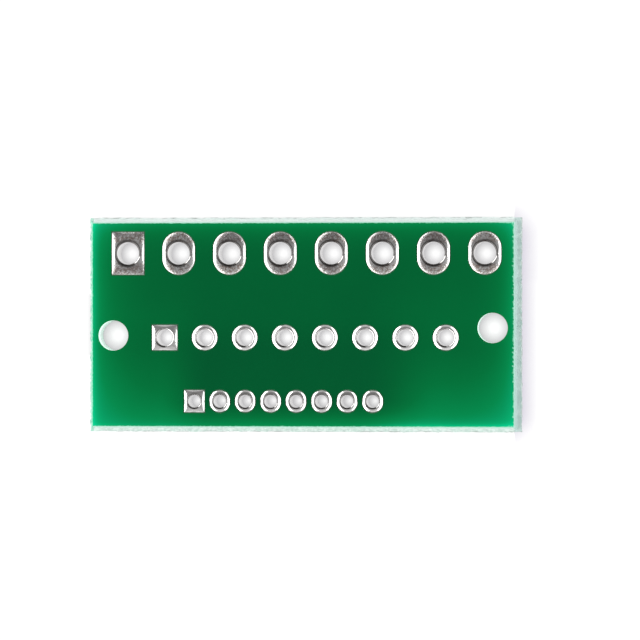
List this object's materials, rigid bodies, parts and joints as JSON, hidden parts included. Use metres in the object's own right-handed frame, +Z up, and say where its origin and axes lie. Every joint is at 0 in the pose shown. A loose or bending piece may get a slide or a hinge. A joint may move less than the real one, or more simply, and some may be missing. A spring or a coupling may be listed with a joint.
{
  "type": "pin pitch adapter board",
  "caption": "Small green circuit board with three rows of plated holes at different pitches, joined hole to hole, and a bare mounting hole near each end.",
  "frame": {"origin": "middle of the board's outline, level with the lowest solder on the underside", "axes": "+X along the rows towards hole 8, +Y towards the 2.54 mm row, +Z up through the board"},
  "size_m": [0.0216, 0.0106, 0.0018],
  "materials": {
    "laminate": "glass-epoxy, torn edge",
    "mask": "glossy green lacquer",
    "solder": "levelled tin solder",
    "copper": "bare copper under lacquer"
  },
  "bodies": {
    "root": {"substrate": "laminate", "solder_mask_top": "mask", "solder_mask_bottom": "mask", "plated_hole_254_1": "solder", "plated_hole_254_2": "solder", "plated_hole_254_3": "solder", "plated_hole_254_4": "solder", "plated_hole_254_5": "solder", "plated_hole_254_6": "solder", "plated_hole_254_7": "solder", "plated_hole_254_8": "solder", "plated_hole_200_1": "solder", "plated_hole_200_2": "solder", "plated_hole_200_3": "solder", "plated_hole_200_4": "solder", "plated_hole_200_5": "solder", "plated_hole_200_6": "solder", "plated_hole_200_7": "solder", "plated_hole_200_8": "solder", "plated_hole_127_1": "solder", "plated_hole_127_2": "solder", "plated_hole_127_3": "solder", "plated_hole_127_4": "solder", "plated_hole_127_5": "solder", "plated_hole_127_6": "solder", "plated_hole_127_7": "solder", "plated_hole_127_8": "solder", "track_1": "copper", "track_2": "copper", "track_3": "copper", "track_4": "copper", "track_5": "copper", "track_6": "copper", "track_7": "copper", "track_8": "copper"}
  },
  "joints": []
}
